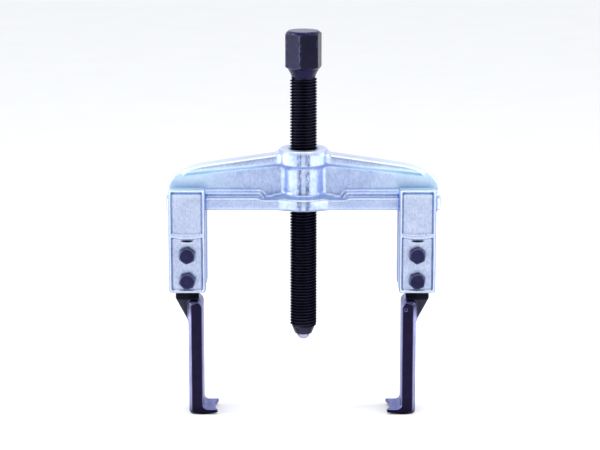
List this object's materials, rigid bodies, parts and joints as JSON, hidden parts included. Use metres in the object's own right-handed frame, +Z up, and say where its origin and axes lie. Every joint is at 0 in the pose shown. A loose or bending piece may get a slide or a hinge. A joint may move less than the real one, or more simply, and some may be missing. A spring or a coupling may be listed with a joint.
{
  "type": "gear puller",
  "caption": "Two-arm gear puller with a forged cross beam, sliding hook arms and a hexagon-headed pressure spindle.",
  "frame": {"origin": "on the spindle's axis, at the level of the undersides of the hooks", "axes": "+Z up along the spindle towards its hexagon, +X along the beam towards the right leg, -Y towards the clamp bolts' heads"},
  "size_m": [0.183, 0.0459, 0.2605],
  "materials": {
    "zinc_plated_forging": "bright zinc plate over a smooth forging",
    "black_oxide_steel": "black oxide, satin",
    "black_fastener": "black oxide, satin",
    "polished_ball": "ground and polished"
  },
  "bodies": {
    "beam": {"cross_beam": "zinc_plated_forging", "left_end_stop": "black_fastener", "right_end_stop": "black_fastener"},
    "ball": {"pressure_ball": "polished_ball"},
    "spindle": {"spindle": "black_oxide_steel"},
    "left_leg": {"left_cheek_front": "zinc_plated_forging", "left_cheek_rear": "zinc_plated_forging", "left_hook_arm": "black_oxide_steel", "left_upper_bolt": "black_fastener", "left_lower_bolt": "black_fastener", "left_upper_nut": "black_fastener", "left_lower_nut": "black_fastener", "left_upper_washer": "black_fastener", "left_lower_washer": "black_fastener"},
    "right_leg": {"right_cheek_front": "zinc_plated_forging", "right_cheek_rear": "zinc_plated_forging", "right_hook_arm": "black_oxide_steel", "right_upper_bolt": "black_fastener", "right_lower_bolt": "black_fastener", "right_upper_nut": "black_fastener", "right_lower_nut": "black_fastener", "right_upper_washer": "black_fastener", "right_lower_washer": "black_fastener"}
  },
  "joints": [
    {"name": "spindle_feed", "type": "slide", "parent": "beam", "child": "ball", "axis": [0, 0, 1], "range_m": [-0.045, 0.075]},
    {"name": "spindle_turn", "type": "hinge", "parent": "ball", "child": "spindle", "pos_m": [0, 0, 0.0535], "axis": [0, 0, 1], "range_deg": [-8105, 13505]},
    {"name": "left_leg_slide", "type": "slide", "parent": "beam", "child": "left_leg", "axis": [1, 0, 0], "range_m": [-0.0006, 0.043]},
    {"name": "right_leg_slide", "type": "slide", "parent": "beam", "child": "right_leg", "axis": [1, 0, 0], "range_m": [-0.043, 0.0022]}
  ],
  "couplings": [
    {"joint": "spindle_turn", "follows": "spindle_feed", "rad_per_m": 3141.6}
  ]
}
